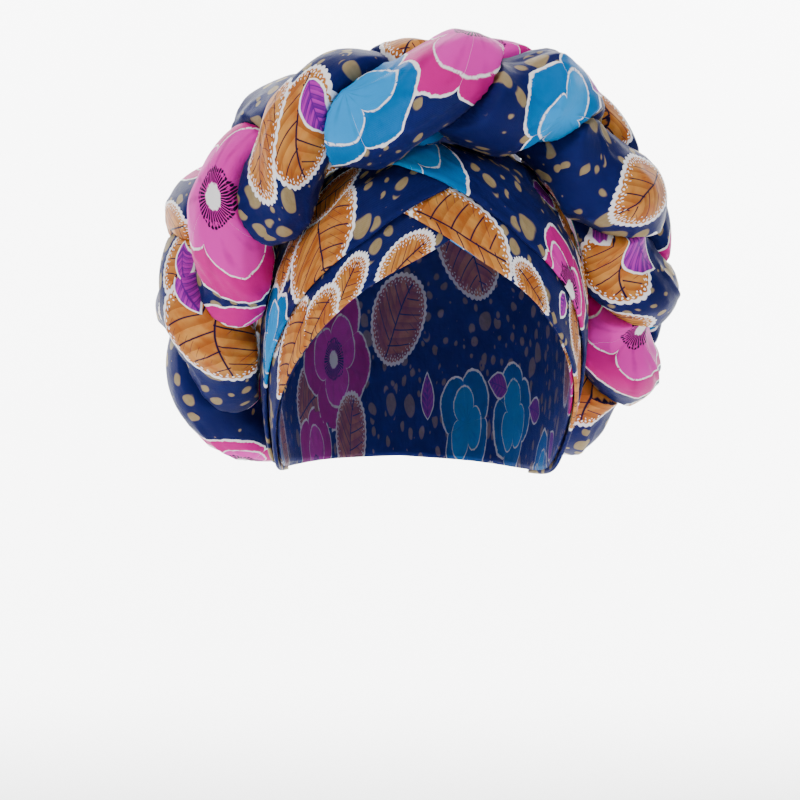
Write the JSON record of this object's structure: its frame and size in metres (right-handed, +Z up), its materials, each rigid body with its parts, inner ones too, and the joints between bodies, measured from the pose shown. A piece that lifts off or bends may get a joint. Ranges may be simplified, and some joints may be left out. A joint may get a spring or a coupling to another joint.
{
  "type": "turban cap",
  "caption": "Ready-tied turban cap: a soft cloth crown with crossed folds that rise to a point over the forehead, ringed by a thick padded plait, in printed floral cloth.",
  "frame": {"origin": "middle of the head hollow at brow level, where the head is widest", "axes": "+Z up, the wearer faces -Y, +X is the wearer's left"},
  "size_m": [0.2744, 0.2438, 0.224],
  "materials": {
    "crown_cloth": "smooth printed cotton with a soft sheen",
    "leaf_cloth": "smooth printed cotton with a soft sheen",
    "pebble_cloth": "smooth printed cotton with a soft sheen",
    "petal_cloth": "smooth printed cotton with a soft sheen",
    "poppy_cloth": "smooth printed cotton with a soft sheen"
  },
  "bodies": {
    "root": {"crown": "crown_cloth", "lower_fold_right": "leaf_cloth", "lower_fold_left": "leaf_cloth", "upper_fold_right": "pebble_cloth", "upper_fold_left": "petal_cloth", "plait_strand_a": "poppy_cloth", "plait_strand_b": "pebble_cloth", "plait_strand_c": "leaf_cloth"}
  },
  "joints": []
}
